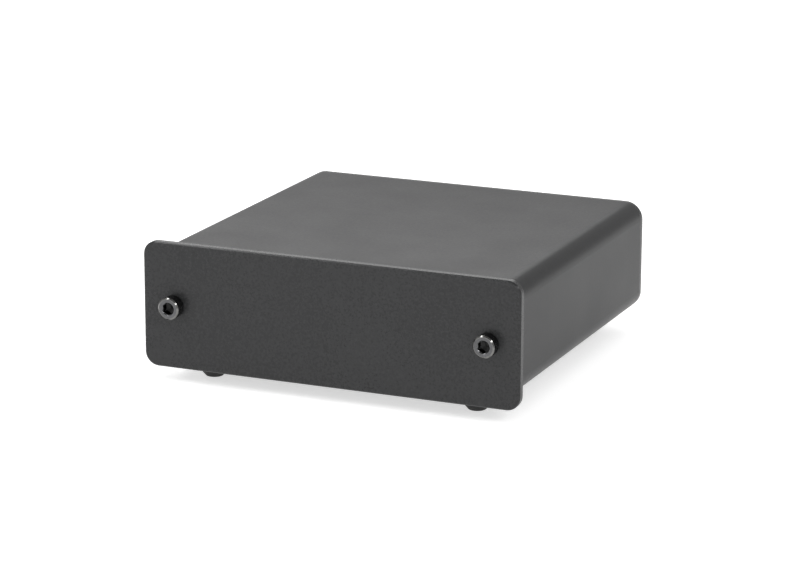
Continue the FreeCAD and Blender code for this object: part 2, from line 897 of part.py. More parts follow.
def axial_part(diameter, length):
    """A resistor or diode: a round body between two leads that turn down to the board."""
    lead, span = value_of("lead"), value_of("resistor_span")
    rise = diameter / 2 + lead / 2
    body = cylinder(diameter / 2, length, x=-length / 2, z=rise, direction=(1, 0, 0))
    body = body.makeFillet(diameter / 5, round_edges(body))
    wire = cylinder(lead / 2, span, x=-span / 2, z=rise, direction=(1, 0, 0))
    legs = [cylinder(lead / 2, rise, x=side * span / 2) for side in (-1, 1)]
    knees = [Part.makeSphere(lead / 2, FreeCAD.Vector(side * span / 2, 0, rise)) for side in (-1, 1)]
    return body.fuse([wire, *legs, *knees])


def can_capacitor(diameter, height):
    """An upright electrolytic capacitor with its crimp groove and two leads."""
    lead = value_of("lead")
    can = cylinder(diameter / 2, height, z=lead)
    can = can.makeFillet(diameter / 14, round_edges(can))
    crimp = Part.makeTorus(diameter / 2, diameter / 30, FreeCAD.Vector(0, 0, lead + diameter / 5))
    can = can.cut(crimp)
    legs = [cylinder(lead / 2, lead * 2, x=side * diameter / 5) for side in (-1, 1)]
    return can.fuse(legs)


def film_capacitor():
    lead, width = value_of("lead"), value_of("film_width")
    case = box(width, value_of("film_depth"), value_of("film_height"), z=lead)
    case = case.makeFillet(lead * 0.7, [edge for edge in case.Edges if edge.BoundBox.ZMax > lead * 2])
    legs = [cylinder(lead / 2, lead * 2, x=side * width * 0.35) for side in (-1, 1)]
    return case.fuse(legs)


def leg_places():
    pitch, rows = value_of("chip_leg_pitch"), value_of("chip_leg_rows")
    return [(pitch * (k - 1.5), side * rows / 2, side) for k in range(4) for side in (-1, 1)]


def chip():
    """An eight-leg amplifier chip standing in its socket, with its end notch."""
    length, width, height = value_of("chip_length"), value_of("chip_width"), value_of("chip_height")
    seat, lead = value_of("chip_seat"), value_of("lead")
    case = box(length, width, height, z=seat + lead)
    case = case.cut(cylinder(width / 8, height / 3, x=-length / 2, z=seat + lead + height * 0.7))
    thin = lead / 2
    knee = seat + lead + height / 2
    legs = []
    for x, y, side in leg_places():
        inner = width / 2 - lead
        reach = abs(y) + thin / 2 - inner
        legs.append(box(lead, reach, thin, z=knee - thin, x=x, y=side * (inner + reach / 2)))
        legs.append(box(lead, thin, knee - seat, z=seat, x=x, y=y))
    return case.fuse(legs)


def chip_socket():
    """Open frame that the chip's legs stand on, with its own legs under it."""
    length, seat, lead = value_of("chip_length"), value_of("chip_seat"), value_of("lead")
    outer = value_of("chip_leg_rows") + lead * 4
    inner = value_of("chip_leg_rows") - lead * 4
    frame = box(length + lead, outer, seat - lead, z=lead).cut(box(length - lead * 4, inner, seat + 1))
    legs = [cylinder(lead / 2, lead * 2, x=x, y=y) for x, y, side in leg_places()]
    return frame.fuse(legs)


def regulator():
    """Upright regulator with its metal tab and three legs."""
    width, depth, height = (
        value_of("regulator_width"),
        value_of("regulator_depth"),
        value_of("regulator_height"),
    )
    rise, stand, lead = value_of("regulator_tab_rise"), value_of("regulator_legs"), value_of("lead")
    case = box(width, depth, height, z=stand)
    thick = depth * 0.3
    back = (thick - depth) / 2
    tab = box(width, thick, rise, z=stand + height, y=back)
    tab = tab.cut(cylinder(rise * 0.3, depth * 2, y=-depth, z=stand + height + rise / 2, direction=(0, 1, 0)))
    legs = [box(lead, lead, stand + lead, x=width * 0.25 * (k - 1)) for k in range(3)]
    return case.fuse([tab, *legs])


def row(start, step, count):
    return [value_of(start) + value_of(step) * k for k in range(count)]


def make_components():
    """Everything that stands on the board's top face, in groups of like parts."""
    sides = (-1, 1)
    inner_x, outer_x = value_of("resistor_x"), value_of("film_x")
    resistor = axial_part(value_of("resistor_diameter"), value_of("resistor_length"))
    places = row("resistor_row", "resistor_step", 5) + row("resistor_second_row", "resistor_step", 4)
    group("resistors", [on_board(resistor, side * inner_x, place_y) for side in sides for place_y in places])
    film = film_capacitor()
    places = row("film_row", "film_step", 3)
    group("film_capacitors", [on_board(film, side * outer_x, place_y) for side in sides for place_y in places])
    coupling = can_capacitor(value_of("coupling_diameter"), value_of("coupling_height"))
    group("coupling_capacitors", [on_board(coupling, side * inner_x, value_of("coupling_row")) for side in sides])
    seat = chip_socket()
    group("amplifier_chip_sockets", [on_board(seat, side * inner_x, value_of("chip_row")) for side in sides])
    amplifier = chip()
    group("amplifier_chips", [on_board(amplifier, side * inner_x, value_of("chip_row")) for side in sides])
    filter_can = can_capacitor(value_of("can_diameter"), value_of("can_height"))
    places = row("can_row", "can_step", 2)
    group("filter_capacitors", [on_board(filter_can, value_of("can_x"), place_y) for place_y in places])
    diode = axial_part(value_of("diode_diameter"), value_of("diode_length"))
    places = row("diode_row", "diode_step", 3)
    group("rectifier_diodes", [on_board(diode, value_of("diode_x"), place_y) for place_y in places])
    upright = regulator()
    middle, step = value_of("regulator_x"), value_of("regulator_step")
    group("regulators", [on_board(upright, middle + side * step / 2, value_of("regulator_row")) for side in sides])


def socket_x(middle, side):
    return middle + cells.socket_pitch * side / 2


make_sleeve()
make_front_plate()
make_rear_plate()
for word, side in (("left", -1), ("right", 1)):
    make_cap_screw(f"front_cap_screw_{word}", side * screw_x, front_y, 0.0)
    make_cap_screw(f"rear_cap_screw_{word}", side * screw_x, rear_outer_y, 180.0)
foot_x = cells.sleeve_width / 2 - cells.foot_inset_side
foot_rows = (
    ("front", sleeve_y + cells.foot_inset_end),
    ("rear", rear_inner_y - cells.foot_inset_end),
)
foot_places = []
for row_name, foot_y in foot_rows:
    for word, side in (("left", -1), ("right", 1)):
        make_foot(f"foot_{row_name}_{word}", side * foot_x, foot_y)
        foot_places.append((side * foot_x, foot_y))
make_foot_pads(foot_places)
make_board()
for pair, middle in (("input", cells.input_middle), ("output", cells.output_middle)):
    make_socket_block(f"{pair}_socket_block", middle)
    make_block_screw(f"{pair}_block_screw", middle)
    for word, side in (("left", -1), ("right", 1)):
        make_shell(f"{pair}_{word}_shell", socket_x(middle, side))
        make_ring(f"{pair}_{word}_ring", socket_x(middle, side))
        make_contact(f"{pair}_{word}_contact", socket_x(middle, side))
make_power_housing()
make_power_pin()
make_power_leaf()
make_ground_stud()
make_washer("ground_clamp_washer", cells.clamp_washer, cells.clamp_washer_thick, rear_outer_y + cells.stud_collar_rise)
lock_washer_y = rear_inner_y - cells.tab_thick - cells.lock_washer_thick
make_washer("ground_lock_washer", cells.lock_washer, cells.lock_washer_thick, lock_washer_y)
make_thumb_nut()
make_stud_nut()
make_ground_tab()
make_selector_body()
for lever in range(LEVERS):
    make_lever(lever)
make_components()

doc.recompute()
for item in doc.Objects:
    if {"Invalid", "Error"} & set(item.State):
        raise ValueError(f"{item.Label} is {item.State}")
os.makedirs("parts", exist_ok=True)
for piece in NODES:
    if piece.Shape.isNull() or not piece.Shape.isValid() or piece.Shape.Volume < 1e-6:
        raise ValueError(f"{piece.Label} has no valid shape")
    piece.Shape.exportStep(f"parts/{piece.Label}.step")
print(len(NODES), "pieces written")
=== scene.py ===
import math

import bmesh
import bpy
from mathutils import Matrix, Vector


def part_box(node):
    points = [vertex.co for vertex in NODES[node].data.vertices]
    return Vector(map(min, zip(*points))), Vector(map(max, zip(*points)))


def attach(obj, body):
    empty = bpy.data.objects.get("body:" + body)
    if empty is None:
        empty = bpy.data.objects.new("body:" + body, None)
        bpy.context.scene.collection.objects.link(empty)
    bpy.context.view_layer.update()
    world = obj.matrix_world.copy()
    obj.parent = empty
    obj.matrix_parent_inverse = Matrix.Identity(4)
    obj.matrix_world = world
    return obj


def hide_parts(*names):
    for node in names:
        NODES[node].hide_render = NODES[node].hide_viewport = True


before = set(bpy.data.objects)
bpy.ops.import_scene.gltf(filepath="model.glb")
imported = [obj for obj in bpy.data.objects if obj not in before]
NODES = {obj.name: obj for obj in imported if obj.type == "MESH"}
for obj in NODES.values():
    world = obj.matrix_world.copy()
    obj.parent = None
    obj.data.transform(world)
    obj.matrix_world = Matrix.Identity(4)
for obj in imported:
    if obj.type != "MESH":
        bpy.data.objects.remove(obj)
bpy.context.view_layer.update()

MM = 0.001
TINY = 1e-6

# The camera that was fitted to the photograph: millimetres, degrees and metres
FOCAL_LENGTH, SENSOR_WIDTH = 142.39, 36.0
CAMERA_TURN, CAMERA_DROP, CAMERA_ROLL = 23.274, 15.200, 0.144
CAMERA_PLACE = (0.32170, -0.75881, 0.23981)

# Lights: name, place, target, width, height and watts
SOFTBOXES = (
    ("front_left_softbox", (-0.9, -1.1, 0.5), (0, 0, 0.02), 0.8, 0.6, 1.5),
    ("rear_panel", (-0.13, 0.28, 0.21), (-0.13, 0, 0.21), 0.3, 0.14, 0.22),
    ("upper_left_softbox", (-0.39, -0.24, 0.67), (0, -0.05, 0.02), 0.55, 0.12, 2.0),
    ("front_right_softbox", (0.54, -0.43, 0.45), (0, -0.05, 0.02), 0.2, 0.11, 0.9),
)
SUN_STRENGTH, SUN_SPREAD = 0.8, 60
SUN_DIRECTION = (0.3, 0.45, 1.0)
WALL_FADE = {"From Min": 0.42, "From Max": 0.75, "To Min": 0.66, "To Max": 0.3}
FLOOR_WIDTH, FLOOR_GLOW = 8.0, 0.6

# Sizes of the small metal parts that no node's box gives
KEY_FLATS, KEY_DEPTH, DRILL_TIP = 3.0 * MM, 2.3 * MM, 0.05 * MM
SCREW_CREST, SCREW_PITCH = 1.75 * MM, 0.6 * MM
SCREW_SIDES, SCREW_KNURL = 96, 0.07 * MM
# Width of the rubbed rim on the screw heads, which is also lightened as a painted highlight for their glints
RIM_WEAR_AND_SHEEN = 0.5 * MM
SOCKET_SHADE = (1.4 * MM, 1.55 * MM)  # from the screw's axis, painted shade inside and plain outside
STUD_CREST, STUD_PITCH = 2.0 * MM, 0.7 * MM
NUT_BORE, NUT_EDGE, NUT_DISH = 2.06 * MM, 0.45 * MM, 0.5 * MM
NUT_SIDES, NUT_KNURL = 84, 0.32 * MM
THREAD_DEPTH = 0.55  # crest to core, in pitches
THREAD_STEPS = 24  # round one turn

# Lettering
LETTER, SMALL_LETTER, INK_DEPTH = 2.4 * MM, 1.3 * MM, 0.02 * MM
LETTERS_ABOVE, LETTERS_BELOW = 9.0 * MM, 8.6 * MM


# --- The studio: camera, floor and light


def make_camera():
    """The photograph's viewpoint: a long lens from the right and a little above."""
    lens = bpy.data.cameras.new("camera")
    lens.lens = FOCAL_LENGTH
    lens.sensor_width = SENSOR_WIDTH
    lens.clip_start = 0.01
    lens.clip_end = 50.0
    camera = bpy.data.objects.new("camera", lens)
    bpy.context.scene.collection.objects.link(camera)
    turn, tilt, roll = map(math.radians, (CAMERA_TURN, 90 - CAMERA_DROP, CAMERA_ROLL))
    aim = Matrix.Rotation(turn, 4, "Z") @ Matrix.Rotation(tilt, 4, "X") @ Matrix.Rotation(roll, 4, "Z")
    camera.matrix_world = Matrix.Translation(CAMERA_PLACE) @ aim
    bpy.context.scene.camera = camera


def softbox(name, place, target, width, height, watts):
    light = bpy.data.lights.new(name, "AREA")
    light.shape = "RECTANGLE"
    light.size = width
    light.size_y = height
    light.energy = watts
    lamp = bpy.data.objects.new(name, light)
    bpy.context.scene.collection.objects.link(lamp)
    direction = Vector(target) - Vector(place)
    lamp.matrix_world = Matrix.Translation(place) @ direction.to_track_quat("-Z", "Y").to_matrix().to_4x4()
    lamp.visible_camera = False


def make_room():
    """White walls that are brightest near the floor and dimmer higher up."""
    world = bpy.data.worlds.new("studio")
    world.use_nodes = True
    tree = world.node_tree
    direction = tree.nodes.new("ShaderNodeTexCoord")
    parts = tree.nodes.new("ShaderNodeSeparateXYZ")
    fade = tree.nodes.new("ShaderNodeMapRange")
    fade.interpolation_type = "SMOOTHSTEP"
    for name, value in WALL_FADE.items():
        fade.inputs[name].default_value = value
    background = tree.nodes["Background"]
    background.inputs["Color"].default_value = (1.0, 1.0, 1.0, 1.0)
    tree.links.new(direction.outputs["Generated"], parts.inputs[0])
    tree.links.new(parts.outputs["Z"], fade.inputs["Value"])
    tree.links.new(fade.outputs[0], background.inputs["Strength"])
    return world


def make_studio():
    scene = bpy.context.scene
    scene.view_settings.view_transform = "Standard"
    scene.world = make_room()
    sun = bpy.data.lights.new("overhead_light", "SUN")
    sun.energy = SUN_STRENGTH
    sun.angle = math.radians(SUN_SPREAD)
    lamp = bpy.data.objects.new("overhead_light", sun)
    scene.collection.objects.link(lamp)
    lamp.matrix_world = Vector(SUN_DIRECTION).to_track_quat("Z", "Y").to_matrix().to_4x4()
    for light in SOFTBOXES:
        softbox(*light)
    bpy.ops.object.select_all(action="DESELECT")
    bpy.ops.mesh.primitive_plane_add(size=FLOOR_WIDTH, location=(0, 0, 0))
    floor = bpy.context.object
    floor.name = "floor"
    paint(floor, floor_finish())


# --- Finishes


class Varying:
    """A number that changes over a surface. Arithmetic on it adds Math nodes."""

    def __init__(self, finish, socket):
        self.finish = finish
        self.socket = socket

    def maths(self, operation, *values):
        node = self.finish.node("ShaderNodeMath", {"operation": operation}, dict(enumerate(values)))
        return Varying(self.finish, node.outputs[0])

    def __add__(self, other):
        return self.maths("ADD", self, other)

    def __sub__(self, other):
        return self.maths("SUBTRACT", self, other)

    def __mul__(self, other):
        return self.maths("MULTIPLY", self, other)

    def __rsub__(self, other):
        return self.maths("SUBTRACT", other, self)

    def root(self):
        return self.maths("SQRT", self)

    def without_sign(self):
        return self.maths("ABSOLUTE", self)

    def steps(self, low, high):
        """0 below low, 1 above high and smooth between."""
        node = self.finish.node(
            "ShaderNodeMapRange",
            {"interpolation_type": "SMOOTHSTEP"},
            {"Value": self, "From Min": low, "From Max": high},
        )
        return Varying(self.finish, node.outputs[0])


class Finish:
    """One procedural material, with ways to add nodes to it."""

    def __init__(self, name, colour, roughness, metallic=0.0, **constants):
        self.material = bpy.data.materials.new(name)
        self.material.use_nodes = True
        self.tree = self.material.node_tree
        self.shader = self.tree.nodes["Principled BSDF"]
        self.colour = tuple(colour)
        self.roughness = roughness
        self.set("Base Color", (*colour, 1.0))
        self.set("Roughness", roughness)
        self.set("Metallic", metallic)
        for socket, value in constants.items():
            self.set(socket.replace("_", " "), value)
        self.place = self.node("ShaderNodeTexCoord").outputs["Object"]

    def set(self, socket, value):
        self.join(self.shader.inputs[socket], value)

    def join(self, socket, value):
        if isinstance(value, Varying):
            value = value.socket
        if isinstance(value, bpy.types.NodeSocket):
            self.tree.links.new(value, socket)
        else:
            socket.default_value = value

    def node(self, kind, settings=None, inputs=None):
        node = self.tree.nodes.new(kind)
        for name, value in (settings or {}).items():
            setattr(node, name, value)
        for name, value in (inputs or {}).items():
            self.join(node.inputs[name], value)
        return node

    def noise(self, size, detail=2.0, roughness=0.5, stretch=(1, 1, 1)):
        """Cloudy variation whose patches are about size metres across."""
        scale = [1 / (size * s) for s in stretch]
        mapping = self.node("ShaderNodeMapping", None, {"Vector": self.place, "Scale": scale})
        node = self.node(
            "ShaderNodeTexNoise",
            None,
            {"Vector": mapping.outputs[0], "Scale": 1.0, "Detail": detail, "Roughness": roughness},
        )
        return Varying(self, node.outputs["Fac"])

    def axes(self):
        """The place's x, y and z, in metres."""
        parts = self.node("ShaderNodeSeparateXYZ", None, {0: self.place})
        return [Varying(self, socket) for socket in parts.outputs]

    def blend(self, mask, first, second):
        """A colour that goes from first, a colour or a colour socket, to second with the mask."""
        first = first if isinstance(first, bpy.types.NodeSocket) else (*first, 1)
        node = self.node("ShaderNodeMix", {"data_type": "RGBA"}, {0: mask, 6: first, 7: (*second, 1)})
        return node.outputs[2]

    def vary_colour(self, mask, darker, lighter):
        """Varies the base colour between two multiples of itself."""
        low = [c * darker for c in self.colour]
        high = [c * lighter for c in self.colour]
        self.set("Base Color", self.blend(mask, low, high))
        return self

    def vary_roughness(self, mask, spread):
        self.set("Roughness", (mask - 0.5) * spread + self.roughness)
        return self

    def bump(self, height, depth, strength=1.0):
        """Raises the surface by up to depth metres."""
        node = self.node("ShaderNodeBump", None, {"Height": height, "Strength": strength, "Distance": depth})
        self.set("Normal", node.outputs[0])
        return self


def floor_finish():
    """A pale table top that glows a little, so that it shows white."""
    finish = Finish("studio_floor", (0.8, 0.8, 0.8), 0.7)
    finish.set("Emission Color", (1.0, 1.0, 1.0, 1.0))
    finish.set("Emission Strength", FLOOR_GLOW)
    finish.vary_roughness(finish.noise(0.3), 0.04)
    return finish


def anodised(name, colour, roughness, gloss):
    """Bead-blasted and dyed aluminium: a fine matt grain with a faint cloudiness."""
    finish = Finish(name, colour, roughness, Specular_IOR_Level=gloss)
    grain = finish.noise(0.0007, detail=3.0, roughness=0.7)
    cloud = finish.noise(0.02, detail=2.0)
    finish.vary_colour(grain * 0.8 + cloud * 0.2, 0.3, 1.7)
    finish.vary_roughness(cloud * 0.4 + grain * 0.6, 0.36)
    finish.bump(grain, 0.00003, 0.6)
    return finish


def black_oxide():
    """Black oxide on steel, rubbed thin round the rims of the heads and lightened there as a painted
    highlight, with painted shade darkening the sockets.
    """
    finish = Finish("black_oxide", (0.1, 0.1, 0.103), 0.24, metallic=1.0)
    cloud = finish.noise(0.0012, detail=3.0)
    low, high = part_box("front_cap_screw_right")
    head, face, back = (high.x - low.x) / 2, low.y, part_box("rear_cap_screw_right")[1].y
    rim = RIM_WEAR_AND_SHEEN
    x, y, z = finish.axes()
    across = x.without_sign() - (low.x + high.x) / 2
    rise = z - (low.z + high.z) / 2
    spread = (across * across + rise * rise).root()
    reach = (back - face) / 2
    near_end = (y - (face + back) / 2).without_sign().steps(reach - rim, reach - rim * 0.6)
    # Rubbed rim on the heads: real wear, plus a lighter colour there as a painted highlight that brightens
    # the glints
    rim_wear_and_sheen = spread.steps(head - rim, head - rim * 0.7) * near_end * cloud.steps(0.25, 0.5)
    # Painted shade: the inside of the hex socket is coloured near-black where shade falls in the recess
    painted_socket_shade = 1 - spread.steps(*SOCKET_SHADE)
    oxide = finish.blend(cloud, (0.075, 0.075, 0.077), (0.13, 0.13, 0.134))
    # The rim colour is lighter than the oxide: wear and painted highlight
    rubbed_rim_and_sheen = finish.blend(rim_wear_and_sheen, oxide, (0.17, 0.168, 0.162))
    finish.set("Base Color", finish.blend(painted_socket_shade, rubbed_rim_and_sheen, (0.022, 0.022, 0.022)))
    finish.set("Roughness", cloud * 0.2 + 0.14 - rim_wear_and_sheen * 0.08)
    finish.bump(finish.noise(0.0002), 0.00001, 0.2)
    return finish


def plated(name, colour, roughness):
    """Bright plating with fine turning marks and a little cloudiness."""
    finish = Finish(name, colour, roughness, metallic=1.0)
    cloud = finish.noise(0.0015, detail=3.0)
    turning = finish.noise(0.0003, detail=2.0, stretch=(8, 1, 8))
    finish.vary_colour(cloud, 0.9, 1.06)
    finish.vary_roughness(turning * 0.6 + cloud * 0.4, 0.14)
    finish.bump(turning, 0.000008, 0.25)
    return finish


def moulded(name, colour, roughness, grain=0.00035):
    """Moulded plastic with a fine spark-eroded texture."""
    finish = Finish(name, colour, roughness, Specular_IOR_Level=0.45)
    texture = finish.noise(grain, detail=3.0, roughness=0.6)
    cloud = finish.noise(0.006)
    finish.vary_colour(cloud, 0.93, 1.07)
    finish.vary_roughness(texture, 0.16)
    finish.bump(texture, 0.00002, 0.3)
    return finish


def rubber():
    finish = Finish("foot_rubber", (0.016, 0.016, 0.016), 0.72, Specular_IOR_Level=0.35)
    dust = finish.noise(0.0012, detail=4.0, roughness=0.65)
    finish.set("Base Color", finish.blend(dust.steps(0.45, 0.8), finish.colour, (0.045, 0.043, 0.04)))
    finish.vary_roughness(dust, 0.2)
    finish.bump(finish.noise(0.0004, detail=3.0), 0.00003, 0.35)
    return finish


def solder_mask():
    """Green lacquer over copper: traces show as slightly lighter runs."""
    finish = Finish("solder_mask", (0.012, 0.09, 0.035), 0.35, Coat_Weight=0.3)
    lines = finish.noise(0.004, detail=1.0, stretch=(1, 5, 1))
    finish.set("Base Color", finish.blend(lines.steps(0.48, 0.52), finish.colour, (0.02, 0.15, 0.055)))
    finish.vary_roughness(finish.noise(0.0006), 0.15)
    return finish


def lacquered(name, colour):
    finish = Finish(name, colour, 0.28, Coat_Weight=0.4)
    cloud = finish.noise(0.0014, detail=2.0)
    finish.vary_colour(cloud, 0.85, 1.12)
    finish.vary_roughness(cloud, 0.12)
    finish.bump(cloud, 0.00003, 0.2)
    return finish


def paint(piece, finish):
    piece.data.materials.clear()
    piece.data.materials.append(finish.material)


def finish_table():
    gold = plated("gold_plate", (0.95, 0.68, 0.28), 0.2)
    nickel = plated("nickel_plate", (0.72, 0.70, 0.66), 0.24)
    zinc = plated("zinc_plate", (0.62, 0.64, 0.68), 0.3)
    plate = anodised("plate_anodising", (0.031, 0.0312, 0.032), 0.28, 0.22)
    sleeve = anodised("sleeve_anodising", (0.03, 0.0302, 0.031), 0.36, 0.12)
    oxide = black_oxide()
    black = moulded("black_plastic", (0.018, 0.018, 0.019), 0.42)
    chip = moulded("chip_epoxy", (0.022, 0.022, 0.023), 0.55, grain=0.00015)
    white = moulded("white_plastic", (0.78, 0.77, 0.73), 0.32)
    red = moulded("red_plastic", (0.52, 0.015, 0.012), 0.3)
    blue = moulded("blue_plastic", (0.02, 0.05, 0.18), 0.4)
    can = lacquered("can_sleeve", (0.02, 0.02, 0.026))
    table = {
        "sleeve": sleeve,
        "front_plate": plate,
        "rear_plate": plate,
        "foot_adhesive_pads": moulded("adhesive_foam", (0.06, 0.06, 0.06), 0.9, grain=0.0006),
        "circuit_board": solder_mask(),
        "input_socket_block": black,
        "output_socket_block": black,
        "power_socket_housing": black,
        "amplifier_chip_sockets": black,
        "input_block_screw": zinc,
        "output_block_screw": zinc,
        "ground_stud": gold,
        "ground_clamp_washer": gold,
        "ground_thumb_nut": gold,
        "ground_stud_nut": nickel,
        "ground_lock_washer": nickel,
        "ground_tab": nickel,
        "power_socket_pin": nickel,
        "power_socket_leaf": nickel,
        "selector_housing": blue,
        "resistors": lacquered("resistor_lacquer", (0.06, 0.2, 0.33)),
        "film_capacitors": lacquered("film_case", (0.42, 0.035, 0.03)),
        "coupling_capacitors": can,
        "filter_capacitors": can,
        "amplifier_chips": chip,
        "rectifier_diodes": chip,
        "regulators": chip,
    }
    foot = rubber()
    for end in ("front", "rear"):
        for side in ("left", "right"):
            table[f"foot_{end}_{side}"] = foot
            table[f"{end}_cap_screw_{side}"] = oxide
    for pair in ("input", "output"):
        for side, ring in (("left", white), ("right", red)):
            table[f"{pair}_{side}_shell"] = gold
            table[f"{pair}_{side}_contact"] = gold
            table[f"{pair}_{side}_ring"] = ring
    for lever in range(1, 5):
        table[f"selector_lever_{lever}"] = white
    return table


# --- Modelling by hand


class Shaping:
    """Edit mode on one piece. Its corners, edges or faces are picked by where they lie."""

    def __init__(self, piece, kind="VERT"):
        self.piece = piece
        self.kind = kind

    def __enter__(self):
        choose(self.piece)
        bpy.ops.object.mode_set(mode="EDIT")
        bpy.ops.mesh.select_mode(type=self.kind)
        bpy.ops.mesh.select_all(action="DESELECT")
        return self

    def __exit__(self, *problem):
        bpy.ops.object.mode_set(mode="OBJECT")

    def pick(self, wanted):
        mesh = bmesh.from_edit_mesh(self.piece.data)
        parts = {"VERT": mesh.verts, "EDGE": mesh.edges, "FACE": mesh.faces}[self.kind]
        for part in parts:
            part.select_set(bool(wanted(part)))
        mesh.select_flush_mode()
        bmesh.update_edit_mesh(self.piece.data)


def choose(piece):
    bpy.ops.object.select_all(action="DESELECT")
    piece.select_set(True)
    bpy.context.view_layer.objects.active = piece


def settle(piece):
    """Puts the piece's place, turn and scale into its mesh."""
    choose(piece)
    bpy.ops.object.transform_apply(location=True, rotation=True, scale=True)


def turned(name, rings, sides=64, bored=False):
    """A shape turned about Z. A circle is drawn through rings of (radius, height) and closed."""
    (radius, height), *rest = rings
    bpy.ops.object.select_all(action="DESELECT")
    bpy.ops.mesh.primitive_circle_add(
        vertices=sides, radius=radius, fill_type="NOTHING", location=(0, 0, height)
    )
    piece = bpy.context.object
    piece.name = name
    settle(piece)
    with Shaping(piece, "EDGE"):
        bpy.ops.mesh.select_all(action="SELECT")
        for wider, higher in rest:
            bpy.ops.mesh.extrude_edges_move(TRANSFORM_OT_translate={"value": (0, 0, higher - height)})
            scale = wider / radius
            bpy.ops.transform.resize(value=(scale, scale, 1), center_override=(0, 0, higher))
            radius, height = wider, higher
        bpy.ops.mesh.select_all(action="SELECT")
        if bored:
            bpy.ops.mesh.extrude_edges_move()
            bpy.ops.mesh.remove_doubles(threshold=TINY)
        else:
            bpy.ops.mesh.fill_holes(sides=0)
        bpy.ops.mesh.normals_make_consistent(inside=False)
    return piece


def knurl(piece, radius, depth, low, high, sides):
    """Draws every second corner of the turned piece, between two heights, in towards the axis."""

    def in_valley(corner):
        x, y, z = corner.co
        on_drum = abs(math.hypot(x, y) - radius) < TINY and low - TINY < z < high + TINY
        return on_drum and round(math.atan2(y, x) / (2 * math.pi) * sides) % 2

    with Shaping(piece) as shaping:
        shaping.pick(in_valley)
        scale = 1 - depth / radius
        bpy.ops.transform.resize(value=(scale, scale, 1), center_override=(0, 0, 0))


def cut(piece, tool):
    """Takes the tool's shape out of the piece."""
    cutter = piece.modifiers.new("cut", "BOOLEAN")
    cutter.operation = "DIFFERENCE"
    cutter.solver = "EXACT"
    cutter.object = tool
    choose(piece)
    bpy.ops.object.modifier_apply(modifier="cut")
    bpy.data.objects.remove(tool)


def thread_ridge(name, crest, pitch, low, high):
    """The ridge of a V thread, wound about Z from low to high."""
    size = pitch * 0.5
    turns = max(1, int((high - low - 2 * size) / pitch))
    bpy.ops.object.select_all(action="DESELECT")
    bpy.ops.mesh.primitive_circle_add(
        vertices=3,
        radius=size,
        fill_type="NOTHING",
        location=(crest - size, 0, (low + high - turns * pitch) / 2),
        rotation=(math.pi / 2, math.pi / 2, 0),
    )
    ridge = bpy.context.object
    ridge.name = name
    settle(ridge)
    winding = ridge.modifiers.new("winding", "SCREW")
    winding.axis = "Z"
    winding.angle = 2 * math.pi
    winding.screw_offset = pitch
    winding.iterations = turns
    winding.steps = winding.render_steps = THREAD_STEPS
    bpy.ops.object.modifier_apply(modifier="winding")
    with Shaping(ridge, "EDGE"):
        bpy.ops.mesh.select_all(action="SELECT")
        bpy.ops.mesh.remove_doubles(threshold=TINY / 10)
        bpy.ops.mesh.fill_holes(sides=0)
        bpy.ops.mesh.normals_make_consistent(inside=False)
    return ridge


def join(piece, *others):
    choose(piece)
    for other in others:
        other.select_set(True)
    bpy.ops.object.join()
    return piece


def put(piece, turns, place):
    """Turns a piece by whole Euler angles and moves it to its place, then settles it there."""
    piece.rotation_euler = [math.radians(turn) for turn in turns]
    piece.location = place
    settle(piece)


def copy_of(piece, name):
    twin = piece.copy()
    twin.data = piece.data.copy()
    twin.name = name
    bpy.context.scene.collection.objects.link(twin)
    return twin


def smooth(piece, degrees=35):
    choose(piece)
    bpy.ops.object.shade_smooth_by_angle(angle=math.radians(degrees))


def belongs(piece, finish, body, slot, *nodes):
    """Paints a finished piece and says what it rides on and stands for."""
    paint(piece, finish)
    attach(piece, body)
    if nodes:
        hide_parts(*nodes)


# --- Small metal parts


def model_cap_screw():
    """Socket-head screw with its seat at the origin, its head up and its thread down."""
    low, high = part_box("front_cap_screw_left")
    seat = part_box("front_plate")[0].y
    head, rise, reach = (high.x - low.x) / 2, seat - low.y, high.y - seat
    rim, band = rise / 11, rise * 0.16
    screw = turned(
        "cap_screw",
        [
            (head - rim / 2, 0),
            (head, rim / 2),
            (head, band),
            (head, rise - rim - band / 2),
            (head, rise - rim),
            (head - rim, rise),
        ],
        sides=SCREW_SIDES,
    )
    knurl(screw, head, SCREW_KNURL, band, rise - rim - band / 2, SCREW_SIDES)
    flats, depth = KEY_FLATS, KEY_DEPTH
    corner = flats / math.sqrt(3)
    cut(screw, turned("key", [(corner, rise - depth), (corner, rise + rim)], sides=6))
    cut(screw, turned("drill_point", [(DRILL_TIP, rise - depth * 1.35), (flats * 0.46, rise - depth + TINY)]))
    narrow = flats * 0.48
    sink = corner * 1.03 - narrow
    cut(screw, turned("countersink", [(narrow, rise - sink), (narrow + sink + rim, rise + rim)]))
    shank, pitch = SCREW_CREST, SCREW_PITCH
    core = shank - pitch * THREAD_DEPTH
    rod = turned("shank", [(core * 0.7, -reach), (core, -reach + core * 0.3), (core, rise * 0.2)], sides=32)
    ridge = thread_ridge("thread", shank, pitch, -reach + core * 0.3, 0)
    join(screw, rod, ridge)
    smooth(screw)
    return screw


def place_cap_screws(finish):
    model = model_cap_screw()
    for end, turn in (("front", 0), ("rear", 180)):
        plate_low, plate_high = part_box(f"{end}_plate")
        seat = plate_low.y if end == "front" else plate_high.y
        for side in ("left", "right"):
            node = f"{end}_cap_screw_{side}"
            low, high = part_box(node)
            screw = copy_of(model, f"{end}_socket_screw_{side}")
            put(screw, (90, 0, turn), ((low.x + high.x) / 2, seat, (low.z + high.z) / 2))
            belongs(screw, finish, "case", "black_screw", node)
    bpy.data.objects.remove(model)


